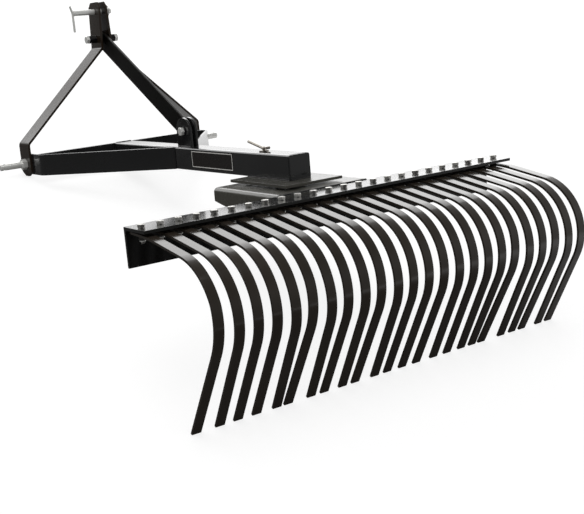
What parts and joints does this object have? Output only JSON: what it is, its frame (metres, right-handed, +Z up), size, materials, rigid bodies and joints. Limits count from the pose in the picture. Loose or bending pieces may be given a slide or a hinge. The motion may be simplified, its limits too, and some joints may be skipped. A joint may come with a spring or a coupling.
{
  "type": "landscape rake",
  "caption": "Three-point landscape rake: angle-iron beam of curved flat tines on a swivelling head, square boom, A-frame mast and hitch pins.",
  "frame": {"origin": "centre of the bounding box's bottom, on the ground the rake stands on", "axes": "+X along the beam to the right as seen from behind, +Y forward to the tractor, +Z up; the rake is parked nose down on its tine tips and mast feet"},
  "size_m": [1.2174, 1.7786, 0.5463],
  "materials": {
    "frame_paint": "gloss black paint over steel, worn at edges",
    "tine_paint": "satin warm black paint on spring steel, scratched at the tips",
    "zinc": "zinc plate, satin",
    "bright_steel": "turned steel, oiled",
    "black_sleeve": "black satin tube"
  },
  "bodies": {
    "frame": {"swivel_plate": "frame_paint", "swivel_washer": "bright_steel", "king_pin": "bright_steel", "king_nut": "zinc", "index_pin": "zinc", "boom": "frame_paint", "boom_end_cap": "frame_paint", "crossbar": "frame_paint", "brace": "frame_paint", "lug_bolt": "zinc", "mast_bolt": "zinc", "mast_sleeves": "black_sleeve", "top_link_pin": "zinc", "linch_pin": "zinc", "arm_left": "frame_paint", "mast_leg_left": "frame_paint", "brace_lug_left": "frame_paint", "lower_pin_left": "zinc", "lower_pin_nut_left": "zinc", "arm_right": "frame_paint", "mast_leg_right": "frame_paint", "brace_lug_right": "frame_paint", "lower_pin_right": "zinc", "lower_pin_nut_right": "zinc"},
    "head": {"beam": "frame_paint", "pivot_channel": "frame_paint", "tine_bolts": "zinc", "tine_nuts": "zinc", "tine_spacers": "zinc", "tine_01": "tine_paint", "tine_02": "tine_paint", "tine_03": "tine_paint", "tine_04": "tine_paint", "tine_05": "tine_paint", "tine_06": "tine_paint", "tine_07": "tine_paint", "tine_08": "tine_paint", "tine_09": "tine_paint", "tine_10": "tine_paint", "tine_11": "tine_paint", "tine_12": "tine_paint", "tine_13": "tine_paint", "tine_14": "tine_paint", "tine_15": "tine_paint", "tine_16": "tine_paint", "tine_17": "tine_paint", "tine_18": "tine_paint", "tine_19": "tine_paint", "tine_20": "tine_paint", "tine_21": "tine_paint", "tine_22": "tine_paint", "tine_23": "tine_paint", "tine_24": "tine_paint"}
  },
  "joints": [
    {"name": "head_swivel", "type": "hinge", "parent": "frame", "child": "head", "pos_m": [0.0052, -0.33732, 0.31855], "axis": [0, 0.3031, 0.953], "range_deg": [-45, 45]}
  ]
}
